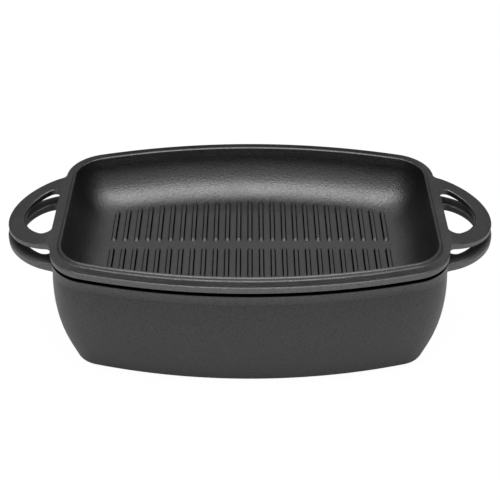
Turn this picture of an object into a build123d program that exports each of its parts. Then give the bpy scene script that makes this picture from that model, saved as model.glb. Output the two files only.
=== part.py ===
from build123d import *
import os
from math import atan2, cos, degrees, hypot, isclose, radians, sin, sqrt, tan

os.makedirs("parts", exist_ok=True)

# A deep rectangular cast iron roaster base with a shallow ribbed grill pan seated in its mouth.
# Millimetres. Origin on the table under the middle, X along the length, Z up.

# Rim outline that both castings share
rim_length = 320.4
rim_width = 217.8
rim_corner_radius = 37.0
side_bow_radius = 482.0

# Heights
flange_top = 107.0
flange_thickness = 5.6
rim_gap = 1.4
seat_clearance = 0.3
rim_height = flange_top - flange_thickness - rim_gap

# Loop handles
handle_root_radius = 6.0
finger_hole_ledge = 2.3
finger_hole_corner = 6.0
handle_edge_break = 1.0
finger_hole_flat = rim_length / 2 + finger_hole_ledge

# Loop handles of the roaster base
base_handle_reach = 43.5
base_handle_radius = 53.6
base_handle_bar = 11.6
base_handle_depth = 11.5
base_handle_root_thickness = 8.1
base_handle_tip_thickness = 5.3
base_handle_sink = 0.5
base_handle_top = rim_height - base_handle_depth
base_handle_tip = rim_length / 2 + base_handle_reach
base_handle_center = base_handle_tip - base_handle_radius
base_hole_radius = base_handle_radius - base_handle_bar

# Loop handles of the grill pan
pan_handle_reach = 42.2
pan_handle_radius = 52.1
pan_handle_bar = 14.1
pan_handle_bend = 3.8
pan_handle_bend_radius = 25.0
pan_handle_tip_drop = 8.2
pan_handle_tip_thickness = 4.2
pan_handle_tip = rim_length / 2 + pan_handle_reach
pan_handle_center = pan_handle_tip - pan_handle_radius
pan_hole_radius = pan_handle_radius - pan_handle_bar

# Roaster base
base_wall = 4.0
base_floor = 5.0
rim_band_inset = 0.4
rim_band_height = 10.0
rim_edge_break = 0.8
wall_widest_depth = 24.0
wall_widest_inset = 0.6
wall_bulge_radius = 190.0
wall_taper = 18.0
bulge_depth = wall_bulge_radius * sin(radians(wall_taper))
bulge_sections = 4
base_corner_shrink = 13.5
base_end_spread = 1.2
foot_radius = 5.0
base_floor_radius = 10.0

# Grill pan
pan_depth = 36.5
pan_wall = 4.0
cove_radius = 31.5
cove_sections = 6
hollow_draft = 6.0
hollow_end_spread = 2.7
hollow_corner_radius = 28.0
floor_corner_radius = 18.0
lip_height = 2.5
lip_inset = 8.9
lip_width = 2.9
lip_draft = 12.0
lip_edge_break = 0.5
lip_foot_run = 0.8
lip_foot_draft = 55.0
seat_inset = 3.0
flange_edge_radius = 1.0

# Ribs on the floor of the grill pan
ribs_per_row = 25
rib_pitch = 9.75
rib_width = 4.4
rib_corner = 1.3
rib_height = 2.5
rib_draft = 20.0
rib_root = 1.0
rib_row_gap = 12.0
rib_end_inset = 42.7

# Distance within which two places count as one
same_place = 0.01


def bowed_outline(inset, corner_radius, end_spread=0.0):
    """Corner centre and corner turn of the rim outline drawn in by an inset."""
    half_length = rim_length / 2 - inset + end_spread
    bow = side_bow_radius - inset
    bow_y = rim_width / 2 - inset - bow
    corner_x = half_length - corner_radius
    corner_y = bow_y + sqrt((bow - corner_radius) ** 2 - corner_x**2)
    turn = degrees(atan2(corner_y - bow_y, corner_x))
    return half_length, bow, corner_x, corner_y, turn


def bowed_face(inset, corner_radius, end_spread=0.0):
    """Rectangle with straight ends, round corners and outward bowed long sides."""
    half_length, bow, _, corner_y, turn = bowed_outline(inset, corner_radius, end_spread)
    with BuildSketch() as face:
        with BuildLine():
            right = Line((half_length, -corner_y), (half_length, corner_y))
            back_right = JernArc(right @ 1, right % 1, corner_radius, turn)
            back = JernArc(back_right @ 1, back_right % 1, bow, 180 - 2 * turn)
            back_left = JernArc(back @ 1, back % 1, corner_radius, turn)
            left = Line(back_left @ 1, (-half_length, -corner_y))
            front_left = JernArc(left @ 1, left % 1, corner_radius, turn)
            front = JernArc(front_left @ 1, front_left % 1, bow, 180 - 2 * turn)
            JernArc(front @ 1, front % 1, corner_radius, turn)
        make_face()
    return face.sketch


def root_circle(inset, ring_center, ring_radius):
    """Centre of the blend between a handle ring and the outline, and where its web meets the corner."""
    corner = rim_corner_radius - inset
    half_length, _, corner_x, corner_y, _ = bowed_outline(inset, corner)
    to_ring = ring_radius + handle_root_radius
    root_x = half_length + handle_root_radius
    root_y = sqrt(to_ring**2 - (root_x - ring_center) ** 2)
    if root_y < corner_y:
        return (root_x, root_y), (corner_x, root_y)
    to_corner = corner + handle_root_radius
    span = hypot(ring_center - corner_x, corner_y)
    along = (span**2 + to_corner**2 - to_ring**2) / (2 * span)
    across = sqrt(to_corner**2 - along**2)
    unit_x = (ring_center - corner_x) / span
    unit_y = -corner_y / span
    root_x = corner_x + along * unit_x - across * unit_y
    root_y = corner_y + along * unit_y + across * unit_x
    return (root_x, root_y), (corner_x, corner_y)


def handled_face(inset, ring_center, ring_radius, hole_radius):
    """Outline with both loop handles, their D shaped finger holes and their blended roots."""
    (root_x, root_y), (web_x, web_y) = root_circle(inset, ring_center, ring_radius)
    hole_depth = ring_center + hole_radius - finger_hole_flat
    hole_corner = min(finger_hole_corner, hole_depth / 4)
    with BuildSketch() as holes:
        with Locations((ring_center, 0)):
            Circle(hole_radius)
        with Locations((finger_hole_flat, 0)):
            from_flat = (Align.MIN, Align.CENTER)
            Rectangle(hole_radius * 2, hole_radius * 2, align=from_flat, mode=Mode.INTERSECT)
        fillet(holes.vertices(), hole_corner)
        mirror(about=Plane.YZ)
    with BuildSketch() as face:
        add(bowed_face(inset, rim_corner_radius - inset))
        for end in (1, -1):
            with Locations((end * ring_center, 0)):
                Circle(ring_radius)
            for side in (1, -1):
                with BuildLine():
                    Polyline(
                        (end * ring_center, 0),
                        (end * root_x, side * root_y),
                        (end * web_x, side * web_y),
                        close=True,
                    )
                make_face()
        for end in (1, -1):
            with Locations((end * root_x, root_y), (end * root_x, -root_y)):
                Circle(handle_root_radius, mode=Mode.SUBTRACT)
        add(holes.sketch, mode=Mode.SUBTRACT)
    return face.sketch


def is_upright(face):
    """True for a side face, which stands square to the table."""
    return isclose(face.normal_at().Z, 0, abs_tol=same_place)


def wall_inset(depth):
    """How far the outside of the base has drawn in at a depth under its rim."""
    below = depth - wall_widest_depth
    if below < bulge_depth:
        return wall_widest_inset + wall_bulge_radius - sqrt(wall_bulge_radius**2 - below**2)
    bulge = wall_bulge_radius * (1 - cos(radians(wall_taper)))
    return wall_widest_inset + bulge + (below - bulge_depth) * tan(radians(wall_taper))


def wall_section(depth, thickness):
    """Level section of the base wall at a depth under its rim, drawn in by a thickness."""
    corner = rim_corner_radius - base_corner_shrink * depth / rim_height
    spread = base_end_spread * depth / rim_height
    return bowed_face(wall_inset(depth) + thickness, corner - thickness, spread)


def cove_section(angle, thickness):
    """Level section of the pan's hollow at an angle down its cove, drawn out by a thickness."""
    share = cos(radians(angle))
    corner = floor_corner_radius + (hollow_corner_radius - floor_corner_radius) * share
    inset = cove_center_inset - (cove_radius + thickness) * share
    return bowed_face(inset, corner + thickness * share, hollow_end_spread)


# Loop handles of the roaster base: a flat topped plate that thins towards its tips
plate_end = base_handle_tip + base_handle_root_thickness
root_end = rim_length / 2 - base_wall
thinning = (base_handle_root_thickness - base_handle_tip_thickness) / (base_handle_tip - root_end)
plate_end_thickness = base_handle_root_thickness - thinning * (plate_end - root_end)
plate_inset = wall_inset(base_handle_depth) + base_handle_sink

with BuildPart() as base_handles:
    with BuildSketch(Plane.XZ):
        with BuildLine():
            Polyline(
                (-plate_end, base_handle_top),
                (plate_end, base_handle_top),
                (plate_end, base_handle_top - plate_end_thickness),
                (root_end, base_handle_top - base_handle_root_thickness),
                (-root_end, base_handle_top - base_handle_root_thickness),
                (-plate_end, base_handle_top - plate_end_thickness),
                close=True,
            )
        make_face()
    extrude(amount=rim_width, both=True)
    with BuildSketch(Plane.XY):
        add(handled_face(plate_inset, base_handle_center, base_handle_radius, base_hole_radius))
    extrude(amount=rim_height, mode=Mode.INTERSECT)
    outline = base_handles.faces().filter_by(is_upright).edges().filter_by(Axis.Z, reverse=True)
    chamfer(outline, handle_edge_break)

# Roaster base casting
bulge_step = bulge_depth / bulge_sections
wall_depths = [rim_band_height]
wall_depths += [wall_widest_depth + bulge_step * step for step in range(bulge_sections + 1)]
wall_depths += [rim_height]

with BuildPart() as roaster_base:
    # Bulged and tapered wall under a plain rim band
    for depth in wall_depths:
        with BuildSketch(Plane.XY.offset(rim_height - depth)):
            add(wall_section(depth, 0))
    loft()
    with BuildSketch(Plane.XY.offset(rim_height)):
        add(bowed_face(rim_band_inset, rim_corner_radius))
    extrude(amount=-rim_band_height)
    fillet(roaster_base.faces().sort_by(Axis.Z)[0].edges(), foot_radius)
    add(base_handles.part)

    # Hollow of even wall thickness
    with BuildSketch(Plane.XY.offset(rim_height - rim_band_height)):
        add(wall_section(rim_band_height, base_wall))
    extrude(amount=rim_band_height, mode=Mode.SUBTRACT)
    for depth in wall_depths[:-1] + [rim_height - base_floor]:
        with BuildSketch(Plane.XY.offset(rim_height - depth)):
            add(wall_section(depth, base_wall))
    loft(mode=Mode.SUBTRACT)
    floor = roaster_base.faces().filter_by(Axis.Z).sort_by(Axis.Z)[1]
    fillet(floor.edges(), base_floor_radius)
    rim = roaster_base.faces().filter_by(Axis.Z).sort_by(Axis.Z)[-1]
    chamfer(rim.edges(), rim_edge_break)

roaster_base.part.label = "roaster_base"
export_step(roaster_base.part, "parts/roaster_base.step")

# Grill pan casting
flange_under = flange_top - flange_thickness
bend_x = rim_length / 2 + pan_handle_bend
strip_end = pan_handle_tip + flange_thickness
strip_run = (strip_end - bend_x) / (pan_handle_tip - bend_x)
top_drop = pan_handle_tip_drop * strip_run
under_drop = (pan_handle_tip_drop + pan_handle_tip_thickness - flange_thickness) * strip_run
floor_level = flange_top - pan_depth
cove_top = floor_level + cove_radius
lip_top = flange_top + lip_height
draft_run = (lip_top - cove_top) * tan(radians(hollow_draft))
lip_corner_radius = hollow_corner_radius + draft_run + lip_width
cove_center_inset = lip_inset + lip_width + draft_run + cove_radius
cove_angles = [90 * step / cove_sections for step in range(cove_sections + 1)]

with BuildPart() as grill_pan:
    # Flange and drooping loop handles: a bent strip cut to the outline of rim and handles
    with BuildSketch(Plane.XZ):
        with BuildLine():
            top = FilletPolyline(
                (-strip_end, flange_top - top_drop),
                (-bend_x, flange_top),
                (bend_x, flange_top),
                (strip_end, flange_top - top_drop),
                radius=pan_handle_bend_radius,
            )
            under = FilletPolyline(
                (-strip_end, flange_under - under_drop),
                (-bend_x, flange_under),
                (bend_x, flange_under),
                (strip_end, flange_under - under_drop),
                radius=pan_handle_bend_radius,
            )
            Line(top @ 0, under @ 0)
            Line(top @ 1, under @ 1)
        make_face()
    extrude(amount=rim_width, both=True)
    with BuildSketch(Plane.XY):
        add(handled_face(0, pan_handle_center, pan_handle_radius, pan_hole_radius))
    extrude(amount=lip_top, mode=Mode.INTERSECT)
    outline = grill_pan.faces().filter_by(is_upright).edges().filter_by(Axis.Z, reverse=True)
    fillet(outline, flange_edge_radius)

    # Seat under the flange and raised locating lip on top of it
    with BuildSketch(Plane.XY.offset(rim_height + seat_clearance)):
        add(bowed_face(seat_inset, rim_corner_radius - seat_inset))
    extrude(until=Until.NEXT)
    with BuildSketch(Plane.XY.offset(flange_top)):
        add(bowed_face(lip_inset, lip_corner_radius, hollow_end_spread))
    extrude(amount=lip_height, taper=lip_draft)
    with BuildSketch(Plane.XY.offset(flange_top)):
        foot_inset = lip_inset - lip_foot_run
        add(bowed_face(foot_inset, lip_corner_radius + lip_foot_run, hollow_end_spread))
    extrude(amount=lip_foot_run, taper=lip_foot_draft)

    # Coved body of even wall thickness hanging in the mouth of the base
    for angle in cove_angles:
        with BuildSketch(Plane.XY.offset(cove_top - (cove_radius + pan_wall) * sin(radians(angle)))):
            add(cove_section(angle, pan_wall))
    loft()
    with BuildSketch(Plane.XY.offset(cove_top)):
        add(cove_section(0, pan_wall))
    extrude(amount=flange_top - cove_top)
    for angle in cove_angles:
        with BuildSketch(Plane.XY.offset(cove_top - cove_radius * sin(radians(angle)))):
            add(cove_section(angle, 0))
    loft(mode=Mode.SUBTRACT)
    with BuildSketch(Plane.XY.offset(cove_top)):
        add(cove_section(0, 0))
    extrude(amount=lip_top - cove_top, taper=-hollow_draft, mode=Mode.SUBTRACT)
    lip_face = grill_pan.faces().filter_by(Axis.Z).sort_by(Axis.Z)[-1]
    chamfer(lip_face.edges(), lip_edge_break)

    # Two rows of raised ribs whose outer ends follow the bowed sides
    root_run = rib_root * tan(radians(rib_draft))
    with BuildSketch(Plane.XY.offset(floor_level - rib_root)) as rib_plan:
        for column in range(ribs_per_row):
            rib_x = (column - (ribs_per_row - 1) / 2) * rib_pitch
            bow = side_bow_radius - rib_end_inset
            rib_end = rim_width / 2 - side_bow_radius + sqrt(bow**2 - rib_x**2)
            rib_length = rib_end - rib_row_gap / 2
            rib_y = rib_row_gap / 2 + rib_length / 2
            with Locations((rib_x, rib_y), (rib_x, -rib_y)):
                Rectangle(rib_width + 2 * root_run, rib_length + 2 * root_run)
        chamfer(rib_plan.vertices(), rib_corner)
    extrude(amount=rib_root + rib_height, taper=rib_draft)

grill_pan.part.label = "grill_pan"
export_step(grill_pan.part, "parts/grill_pan.step")

print("wall thickness of pan and base:", pan_wall, base_wall)
pan_end = rim_length / 2 + hollow_end_spread - cove_center_inset + cove_radius + pan_wall
mouth_spread = base_end_spread * rim_band_height / rim_height
mouth_end = rim_length / 2 + mouth_spread - wall_inset(rim_band_height) - base_wall
print("room between pan body and base mouth:", mouth_end - pan_end)
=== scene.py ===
# %% [markdown]
# # A cast iron roaster with its grill pan
#
# The object is two bare iron castings: a deep rectangular base, and a shallow ribbed grill pan that
# stands in its mouth. The lesson dresses the two castings in a finish that reads as seasoned iron,
# and sets a quiet studio round them, so that the form shows by its reflections.

# %% The frame
from math import radians

import bmesh
import bpy
import mathutils
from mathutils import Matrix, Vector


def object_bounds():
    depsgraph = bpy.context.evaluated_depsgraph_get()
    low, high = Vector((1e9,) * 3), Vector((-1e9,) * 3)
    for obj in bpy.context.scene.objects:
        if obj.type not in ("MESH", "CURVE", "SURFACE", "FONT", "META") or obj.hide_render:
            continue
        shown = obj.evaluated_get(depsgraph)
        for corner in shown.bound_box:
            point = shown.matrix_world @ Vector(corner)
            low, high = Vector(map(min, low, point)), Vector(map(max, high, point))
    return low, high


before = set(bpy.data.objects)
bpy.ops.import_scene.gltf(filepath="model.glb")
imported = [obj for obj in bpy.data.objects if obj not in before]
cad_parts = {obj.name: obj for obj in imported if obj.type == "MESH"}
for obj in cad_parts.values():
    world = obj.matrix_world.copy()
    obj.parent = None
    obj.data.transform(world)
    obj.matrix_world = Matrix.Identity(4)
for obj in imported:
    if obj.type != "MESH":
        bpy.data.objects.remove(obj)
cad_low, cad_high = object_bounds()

millimetre = 0.001

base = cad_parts["roaster_base"]
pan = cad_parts["grill_pan"]
for casting in (base, pan):
    print(casting.name, "has", len(casting.data.polygons), "faces")

# %% [markdown]
# ## Colour
#
# Colours are written as the eye sees them, as sRGB hex values. Blender mixes light in linear
# values, so one small function turns the first into the second.


# %% Colours
def linear(hex_colour):
    """RGBA in linear values from an sRGB hex colour such as 2b2b2c."""
    values = []
    for place in (0, 2, 4):
        value = int(hex_colour[place:place + 2], 16) / 255
        values.append(value / 12.92 if value <= 0.04045 else ((value + 0.055) / 1.055) ** 2.4)
    return (*values, 1)


print("a dark grey in linear values:", [round(value, 4) for value in linear("242425")])


# %% [markdown]
# ## Nodes
#
# A material is a small network of nodes. One function adds a node, and a few more name the nodes that
# the lesson uses often: a ramp, a sum, a product of masks, a mix and a noise. With them a network
# reads as plain sums.


# %% A node at a time
def add_node(tree, kind, links=None, **settings):
    """Adds a node, sets its properties or input values, and links its inputs to other outputs."""
    node = tree.nodes.new(kind)
    for name, value in settings.items():
        setattr(node, name, value)
    for socket, source in (links or {}).items():
        if isinstance(source, bpy.types.NodeSocket):
            tree.links.new(source, node.inputs[socket])
        else:
            node.inputs[socket].default_value = source
    return node


def empty_material(name):
    """Material without nodes, and its tree."""
    material = bpy.data.materials.new(name)
    material.use_nodes = True
    material.node_tree.nodes.clear()
    return material, material.node_tree


# %% Nodes used often
def ramp(tree, value, low, high, low_result=0.0, high_result=1.0):
    """Runs from one result at a low value to the other at a high value, and stops there."""
    return add_node(
        tree,
        "ShaderNodeMapRange",
        {"Value": value, "From Min": low, "From Max": high, "To Min": low_result, "To Max": high_result},
    ).outputs["Result"]


def compute(tree, operation, first, second=0.0):
    """One sum on one or two values."""
    return add_node(tree, "ShaderNodeMath", {0: first, 1: second}, operation=operation).outputs["Value"]


def product(tree, *masks):
    """Where all of the masks meet."""
    result = masks[0]
    for mask in masks[1:]:
        result = compute(tree, "MULTIPLY", result, mask)
    return result


def mirrored_ramp(tree, value, low, high):
    """The same ramp on both sides of the middle."""
    return ramp(tree, compute(tree, "ABSOLUTE", value), low, high)


def mix_colour(tree, share, first, second):
    """The first colour, and the second by its share."""
    return add_node(
        tree, "ShaderNodeMix", {"Factor": share, "A": first, "B": second}, data_type="RGBA"
    ).outputs[2]


def noise(tree, size, detail):
    """Noise whose bumps are about one size across, fixed to the casting."""
    place = add_node(tree, "ShaderNodeTexCoord").outputs["Object"]
    return add_node(
        tree, "ShaderNodeTexNoise", {"Vector": place, "Scale": 1 / size, "Detail": detail}
    ).outputs["Fac"]


# %% [markdown]
# ## Where use changes the iron, and where light is painted
#
# New seasoned iron is black all over. Hands then rub the ends of the set to a lighter grey, and scraping
# dulls the floor of the pan. The other marks are painted light: a painted reflection lightens the outer
# upright sides of the handles, the flange, the lip and the rim band; painted highlights lie on the ends
# of the ribs and on the lip of the long sides; the base handles are painted lighter where the pan's
# handles shade them; and painted shade darkens the long sides of the ribs, tight corners, and the rim
# that the pan covers.
#
# Each of these places is a mask: a value from 0 to 1, worked out from where a point lies on the
# casting and which way its surface faces. The heights are counted down from the top of the lip, with
# the real sizes of the two pieces.

# %% Heights and sizes of the places
lip_height = 2.5 * millimetre
flange_thickness = 5.6 * millimetre
rim_gap = 1.4 * millimetre
band_height = 10 * millimetre
rib_top_depth = 34 * millimetre
handle_top_depth = 11.5 * millimetre

lip_top = cad_high.z
flange_top = lip_top - lip_height
flange_under = flange_top - flange_thickness
rim_top = flange_under - rim_gap
band_under = rim_top - band_height
rib_top = flange_top - rib_top_depth
handle_top = rim_top - handle_top_depth
print("rim at", round(rim_top / millimetre, 1), "and ribs at", round(rib_top / millimetre, 1), "mm")

handle_start = 160.6 * millimetre
handled_start = 120 * millimetre
# where the painted highlight on the lip of the long sides starts, and where it is full
lip_highlight_start, lip_highlight_full = 75 * millimetre, 90 * millimetre
scraped_length_full, scraped_length_end = 122 * millimetre, 142 * millimetre
scraped_width_full, scraped_width_end = 44 * millimetre, 60 * millimetre
# height of the painted shadow under the rim top, where the pan covers the rim
rim_shadow_height = 2.4 * millimetre
sharp_edge = 0.2 * millimetre

# shares of the painted reflection on the lip and on the rim band
lip_reflection_share = 0.7
band_reflection_share = 0.4
# share of the painted highlight on the lip crest
lip_highlight_share = 0.3


# %% Place and direction
def surface(tree):
    """Place and normal of a point, and how far its normal leads away from the middle."""
    texture = add_node(tree, "ShaderNodeTexCoord").outputs
    place = add_node(tree, "ShaderNodeSeparateXYZ", {"Vector": texture["Object"]}).outputs
    normal = add_node(tree, "ShaderNodeSeparateXYZ", {"Vector": texture["Normal"]}).outputs
    across = compute(tree, "MULTIPLY", place["X"], normal["X"])
    along = compute(tree, "MULTIPLY", place["Y"], normal["Y"])
    return place, normal, compute(tree, "ADD", across, along)


def not_inward(tree, outward):
    """All surfaces but the inner walls."""
    return ramp(tree, outward, -30 * millimetre, -10 * millimetre)


# %% Masks of hands, and of painted light and painted reflection
def handled_ends(tree, place, outward):
    """The two ends, where the set is carried, apart from the inner walls."""
    ends = mirrored_ramp(tree, place["X"], handled_start, handle_start)
    return product(tree, ends, not_inward(tree, outward))


def painted_light_base_handles(tree, place):
    """Painted light: the handles of the base made lighter below the pan's handles, which shade them."""
    beyond_wall = mirrored_ramp(tree, place["X"], handle_start - 2 * millimetre, handle_start)
    under_pan = ramp(tree, place["Z"], handle_top + millimetre, handle_top + 0.5 * millimetre)
    return product(tree, beyond_wall, under_pan)


def painted_reflection_sides(tree, place, normal, outward):
    """Painted reflection: the outer upright sides of the handles and of the flange lighter, and less of
    the lip and the rim band.
    """
    outer = ramp(tree, outward, 0.0, 30 * millimetre)
    upright = mirrored_ramp(tree, normal["Z"], 0.75, 0.35)
    handle = mirrored_ramp(tree, place["X"], handle_start, handle_start + millimetre)
    flange = ramp(tree, place["Z"], flange_under - sharp_edge, flange_under + sharp_edge)
    lip = ramp(tree, place["Z"], flange_top, flange_top + sharp_edge, 1.0, lip_reflection_share)
    band = ramp(tree, place["Z"], band_under - millimetre, rim_top - 3 * millimetre, 0.0, band_reflection_share)
    # painted reflection on the handles, the flange and the rim band
    reflecting_parts = compute(tree, "MAXIMUM", compute(tree, "MAXIMUM", handle, flange), band)
    return product(tree, outer, upright, lip, reflecting_parts)


# %% Masks of tools, and of painted highlights and painted shade
def painted_lip_highlight(tree, place):
    """Painted highlight along the top of the lip on the long sides."""
    long_sides = mirrored_ramp(tree, place["Y"], lip_highlight_start, lip_highlight_full)
    low, high = lip_top - 0.9 * millimetre, lip_top - 0.4 * millimetre
    return product(tree, long_sides, ramp(tree, place["Z"], low, high, 0.0, lip_highlight_share))


def scraped_floor(tree, place):
    """The floor of the pan, its ribs, and the foot of the cove at the two ends."""
    long = mirrored_ramp(tree, place["X"], scraped_length_end, scraped_length_full)
    wide = mirrored_ramp(tree, place["Y"], scraped_width_end, scraped_width_full)
    under_wall = ramp(tree, place["Z"], rib_top + 10 * millimetre, rib_top + 2 * millimetre)
    over_underside = ramp(tree, place["Z"], rib_top - 4 * millimetre, rib_top - 3 * millimetre)
    return product(tree, long, wide, under_wall, over_underside)


def rib_faces(tree, place, direction):
    """The upright faces of the ribs that look one way."""
    facing = mirrored_ramp(tree, direction, 0.5, 0.8)
    under_top = ramp(tree, place["Z"], rib_top + 0.1 * millimetre, rib_top - 0.1 * millimetre)
    over_floor = ramp(tree, place["Z"], rib_top - 2.4 * millimetre, rib_top - 2.2 * millimetre)
    return product(tree, facing, under_top, over_floor)


# %% Mask of the painted shadow on the covered rim
def painted_rim_shadow(tree, place, outward):
    """Painted shadow on the rim of the base, where the pan covers it."""
    over_band = ramp(tree, place["Z"], rim_top - rim_shadow_height, rim_top - rim_shadow_height + millimetre)
    under_pan = ramp(tree, place["Z"], rim_top + 0.3 * millimetre, rim_top + 0.1 * millimetre)
    between_handles = mirrored_ramp(tree, place["X"], handle_start, handle_start - millimetre)
    return product(tree, over_band, under_pan, between_handles, not_inward(tree, outward))


# %% [markdown]
# ## Seasoned cast iron
#
# The castings come out of a sand mould, are shot blasted, and then get oil baked onto them. The sand
# leaves a skin of low pebbles under two millimetres across, with finer grit in it. The baked oil is a
# thin dark glaze over black iron oxide, so the surface reflects like a dull dielectric and not like
# bare metal: the colour is nearly black, and the grey that the eye sees is soft reflected light.
#
# The tone starts from slow patches, and each mask then mixes its own tone over it. Painted shade in tight
# corners, along the long sides of the ribs and on the covered rim darkens the colour and also takes the
# reflection away. The pits between the pebbles are darker and reflect less, and that is what makes the
# grain show on the flat parts.

# %% The skin and the tones
pebble_size = 1.6 * millimetre
grit_size = 0.8 * millimetre
grit_share = 0.55
pebble_depth = 0.4 * millimetre
patch_size = 28 * millimetre
edge_softness = 0.7 * millimetre
crevice_reach = 1.8 * millimetre

glaze_index = 1.7
glaze_reflection = 0.56
glaze_roughness = (0.31, 0.38)
scraped_roughness = 0.17
pit_shade = 0.65

glaze_tones = ("0f0f10", "171718")
handled_tone = "353535"
# painted light: the base handles lighter where the pan's handles shade them
painted_light_handle_tone = "565656"
scraped_tone = "242425"
# painted reflection: lighter grey on the outer upright sides
painted_reflection_tone = "686869"
# painted highlight: light grey on the rib ends and on the lip crest
painted_highlight_tone = "8c8c8d"
# near black for painted shade and for the darker pits of the skin
shade_and_pit_tone = "030303"


# %% Relief
def sand_cast_skin(tree):
    """Height of the skin: pebbles with finer grit in them."""
    pebbles = noise(tree, pebble_size, 1)
    grit = noise(tree, grit_size, 1)
    return add_node(
        tree, "ShaderNodeMix", {"Factor": grit_share, "A": pebbles, "B": grit}
    ).outputs["Result"]


def relief(tree, skin):
    """Normal of the skin over slightly softened edges."""
    soft_edges = add_node(tree, "ShaderNodeBevel", {"Radius": edge_softness}, samples=6).outputs["Normal"]
    return add_node(
        tree,
        "ShaderNodeBump",
        {"Height": skin, "Strength": 1.0, "Distance": pebble_depth, "Normal": soft_edges},
    ).outputs["Normal"]


# %% Seasoned iron
def unshaded_clean_share(tree, crevice_shade, rib_end_highlights, painted_shade, skin):
    """1 where no painted shade falls; less in the painted shade of tight corners, rib sides and the
    covered rim, and in the darker pits of the skin; the rib end highlights stay free of the corner shade.
    """
    open_places = compute(tree, "MAXIMUM", ramp(tree, crevice_shade, 0.2, 0.9), rib_end_highlights)
    pits = ramp(tree, skin, 0.32, 0.55, pit_shade, 1.0)
    return product(tree, open_places, ramp(tree, painted_shade, 1.0, 0.0), pits)


def seasoned_iron():
    """Black oil glaze over a sand cast skin, worn at the ends and scraped on the floor by use, with
    painted highlights, painted reflections and painted shade.
    """
    material, tree = empty_material("seasoned cast iron")
    place, normal, outward = surface(tree)
    skin = sand_cast_skin(tree)
    patches = noise(tree, patch_size, 3)
    # painted shade: ambient occlusion darkens tight corners and takes their reflection away
    crevice_shade = add_node(tree, "ShaderNodeAmbientOcclusion", {"Distance": crevice_reach}, samples=8)

    scraped = scraped_floor(tree, place)
    # painted highlights on the ends of the ribs
    rib_end_highlights = product(tree, scraped, rib_faces(tree, place, normal["Y"]))
    # painted shade along the long sides of the ribs, and painted shadow on the covered rim
    rib_side_shade = product(tree, scraped, rib_faces(tree, place, normal["X"]))
    painted_shade = compute(tree, "MAXIMUM", rib_side_shade, painted_rim_shadow(tree, place, outward))
    unshaded_clean = unshaded_clean_share(tree, crevice_shade.outputs["AO"], rib_end_highlights, painted_shade, skin)

    tone = mix_colour(tree, patches, linear(glaze_tones[0]), linear(glaze_tones[1]))
    # the handled ends and the scraped floor are wear; the base handles, the outer sides, the rib ends and
    # the lip crest are painted light
    for mask, colour in (
        (handled_ends(tree, place, outward), handled_tone),
        (painted_light_base_handles(tree, place), painted_light_handle_tone),
        (scraped, scraped_tone),
        (painted_reflection_sides(tree, place, normal, outward), painted_reflection_tone),
        (compute(tree, "MAXIMUM", rib_end_highlights, painted_lip_highlight(tree, place)), painted_highlight_tone),
    ):
        tone = mix_colour(tree, mask, tone, linear(colour))
    # painted shade and the darker pits mix near black over the tone
    tone = mix_colour(tree, unshaded_clean, linear(shade_and_pit_tone), tone)

    roughness = ramp(tree, patches, 0.3, 0.7, *glaze_roughness)
    duller = compute(tree, "MULTIPLY", scraped, scraped_roughness)
    glaze = add_node(
        tree,
        "ShaderNodeBsdfPrincipled",
        {
            "Base Color": tone,
            "Roughness": compute(tree, "ADD", roughness, duller),
            "IOR": glaze_index,
            "Specular IOR Level": compute(tree, "MULTIPLY", unshaded_clean, glaze_reflection),
            "Normal": relief(tree, skin),
        },
    )
    add_node(tree, "ShaderNodeOutputMaterial", {"Surface": glaze.outputs["BSDF"]})
    return material


iron = seasoned_iron()
for casting in (base, pan):
    casting.data.materials.clear()
    casting.data.materials.append(iron)
print(iron.name, "with", len(iron.node_tree.nodes), "nodes, on both castings")


# %% [markdown]
# ## The floor and the room
#
# The set stands on a pale, plain floor in a white room. The camera sees the floor and the room as
# nearly white, as a product photographer arranges it, while the light that falls on the iron stays
# plain. Reflections see the white room too, and the floor keeps the soft shadow of the base.


# %% White for the camera and for reflections
def white_share(tree, to_camera, to_reflections):
    """The share of plain white that the camera and the reflections see; other light sees none."""
    rays = add_node(tree, "ShaderNodeLightPath").outputs
    mirrored = compute(tree, "MAXIMUM", rays["Is Glossy Ray"], rays["Is Transmission Ray"])
    seen = compute(tree, "MULTIPLY", rays["Is Camera Ray"], to_camera)
    return compute(tree, "ADD", seen, compute(tree, "MULTIPLY", mirrored, to_reflections))


def matt(tree, colour):
    """Shader of a matt surface."""
    return add_node(tree, "ShaderNodeBsdfDiffuse", {"Color": linear(colour)}).outputs["BSDF"]


def staged(name, mesh, material):
    """Object of the studio from a bmesh."""
    data = bpy.data.meshes.new(name)
    mesh.to_mesh(data)
    mesh.free()
    data.materials.append(material)
    thing = bpy.data.objects.new(name, data)
    bpy.context.scene.collection.objects.link(thing)
    return thing


# %% The floor
floor_radius = 8.0
floor_colour = "c8c8c8"
floor_glow = 1.05
glow_to_camera = 0.93
glow_to_reflections = 0.2


def floor_material():
    """Pale matt floor that glows to the camera, so that it stays white round the shadow."""
    material, tree = empty_material("white studio floor")
    glow = add_node(tree, "ShaderNodeEmission", {"Color": linear("ffffff"), "Strength": floor_glow})
    seen = white_share(tree, glow_to_camera, glow_to_reflections)
    mixed = add_node(
        tree, "ShaderNodeMixShader", {0: seen, 1: matt(tree, floor_colour), 2: glow.outputs["Emission"]}
    )
    add_node(tree, "ShaderNodeOutputMaterial", {"Surface": mixed.outputs["Shader"]})
    return material


floor_mesh = bmesh.new()
bmesh.ops.create_circle(floor_mesh, cap_ends=True, segments=96, radius=floor_radius)
floor = staged("floor", floor_mesh, floor_material())
print(floor.name, "with radius", floor_radius, "m")

# %% The room
room_light = 0.35
background_white = 1.0


def background(tree, strength):
    """Shader of a plain white room."""
    return add_node(
        tree, "ShaderNodeBackground", {"Color": linear("ffffff"), "Strength": strength}
    ).outputs["Background"]


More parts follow.
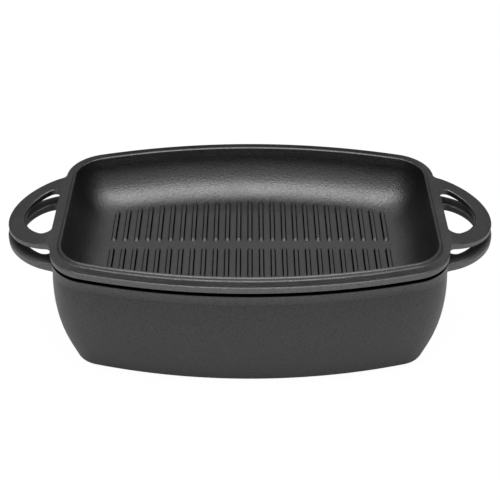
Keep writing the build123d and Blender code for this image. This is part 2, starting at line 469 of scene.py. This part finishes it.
room = bpy.data.worlds.new("studio")
bpy.context.scene.world = room
room.use_nodes = True
room.node_tree.nodes.clear()
backgrounds = add_node(
    room.node_tree,
    "ShaderNodeMixShader",
    {
        0: white_share(room.node_tree, 1.0, 1.0),
        1: background(room.node_tree, room_light),
        2: background(room.node_tree, background_white),
    },
)
add_node(room.node_tree, "ShaderNodeOutputWorld", {"Surface": backgrounds.outputs["Shader"]})
print(room.name, "lights the object at", room_light)


# %% [markdown]
# ## The lamp and the dark cards
#
# Black things are lit by what they reflect. One large softbox overhead draws the bright band on the
# cove behind the ribs. A grey card stands behind the set, where the flat tops mirror it, and keeps
# them quiet. Two more at the ends keep the end walls of the pan dark. The cards are matt board that
# the camera doesn't see.


# %% The lamp
def softbox(name, place, target, width, depth, watts):
    """Rectangular area lamp that looks at a point."""
    lamp = bpy.data.lights.new(name, "AREA")
    lamp.shape = "RECTANGLE"
    lamp.size = width
    lamp.size_y = depth
    lamp.energy = watts
    thing = bpy.data.objects.new(name, lamp)
    bpy.context.scene.collection.objects.link(thing)
    thing.location = place
    aim = mathutils.Vector(target) - mathutils.Vector(place)
    thing.rotation_euler = aim.to_track_quat("-Z", "Y").to_euler()
    return thing


overhead = softbox(
    "overhead softbox", place=(0, -0.08, 1.28), target=(0, 0.08, 0.09), width=1.2, depth=0.9, watts=18
)
print(overhead.name, "at", overhead.data.energy, "W")


# %% The cards
def card(name, width, height, place, turn, colour):
    """Upright card that reflections and stray light meet, but not the camera."""
    mesh = bmesh.new()
    bmesh.ops.create_grid(mesh, x_segments=1, y_segments=1, size=0.5)
    board, tree = empty_material(name)
    add_node(tree, "ShaderNodeOutputMaterial", {"Surface": matt(tree, colour)})
    thing = staged(name, mesh, board)
    thing.scale = (width, height, 1)
    thing.location = place
    thing.rotation_euler = (radians(90), 0, radians(turn))
    thing.visible_camera = False
    return thing


cards = [card("back card", 3.0, 1.6, place=(0, 1.0, 0.85), turn=0, colour="585858")]
for name, side in (("left card", -1), ("right card", 1)):
    cards.append(card(name, 2.0, 1.2, place=(side * 1.1, 0.1, 0.7), turn=90, colour="4a4a4a"))
print("cards:", ", ".join(thing.name for thing in cards))

# %% [markdown]
# ## The camera
#
# The photograph looks down on the set from the front at 35.5 degrees. Its long lens and its distance
# come from the ratio of the front and back edges of the rim.

# %% Camera
pitch_down = 35.5
focal_length = 85.8
camera_distance = 0.8318
camera_height = 0.6588

camera_data = bpy.data.cameras.new("camera")
camera_data.lens = focal_length
camera = bpy.data.objects.new("camera", camera_data)
bpy.context.scene.collection.objects.link(camera)
camera.location = (0, -camera_distance, camera_height)
camera.rotation_euler = (radians(90 - pitch_down), 0, 0)
bpy.context.scene.camera = camera
bpy.context.scene.view_settings.view_transform = "Standard"
print("camera with a lens of", focal_length, "mm, looking down", pitch_down, "degrees")
